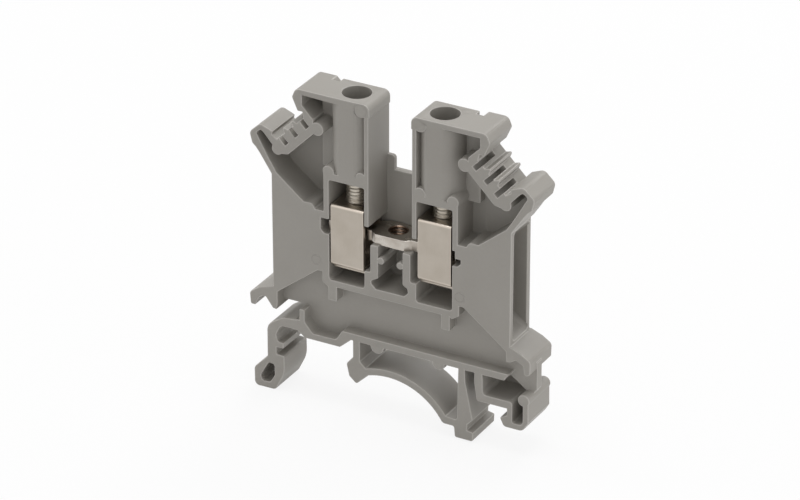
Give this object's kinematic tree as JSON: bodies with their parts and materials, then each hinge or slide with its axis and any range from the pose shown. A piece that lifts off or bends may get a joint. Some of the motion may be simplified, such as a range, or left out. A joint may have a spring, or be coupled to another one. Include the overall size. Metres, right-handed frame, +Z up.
{
  "type": "feed-through terminal block",
  "caption": "Rail-mounted feed-through terminal block with an open-sided grey housing, a current bar, and a rising clamp cage with its screw at each end.",
  "frame": {"origin": "middle of the block's width, above the middle of the 35 mm rail, level with the top of the rail's flanges", "axes": "+Z up, away from the rail; +X towards the right wire entry; +Y from the open front to the closed back, along the rail"},
  "size_m": [0.0428, 0.0062, 0.0461],
  "materials": {
    "housing_plastic": "warm grey moulded polyamide, satin",
    "tinned_bar": "tin-plated copper alloy, satin",
    "cage_steel": "nickel-plated folded steel, satin",
    "screw_steel": "zinc-plated steel, bright thread"
  },
  "bodies": {
    "housing": {"housing": "housing_plastic", "current_bar": "tinned_bar"},
    "left_cage": {"left_cage": "cage_steel"},
    "right_cage": {"right_cage": "cage_steel"},
    "left_screw": {"left_screw": "screw_steel"},
    "right_screw": {"right_screw": "screw_steel"}
  },
  "joints": [
    {"name": "left_cage_lift", "type": "slide", "parent": "housing", "child": "left_cage", "axis": [0, 0, 1], "range_m": [-0.0012, 0.0034]},
    {"name": "left_screw_turn", "type": "hinge", "parent": "housing", "child": "left_screw", "pos_m": [-0.00655, -0.0001, 0.0306], "axis": [0, 0, -1], "range_deg": [-865, 2449]},
    {"name": "right_cage_lift", "type": "slide", "parent": "housing", "child": "right_cage", "axis": [0, 0, 1], "range_m": [-0.00225, 0.00235]},
    {"name": "right_screw_turn", "type": "hinge", "parent": "housing", "child": "right_screw", "pos_m": [0.00655, -0.0001, 0.0306], "axis": [0, 0, -1], "range_deg": [-1621, 1693]}
  ],
  "couplings": [
    {"joint": "left_screw_turn", "follows": "left_cage_lift", "rad_per_m": 12566},
    {"joint": "right_screw_turn", "follows": "right_cage_lift", "rad_per_m": 12566}
  ]
}
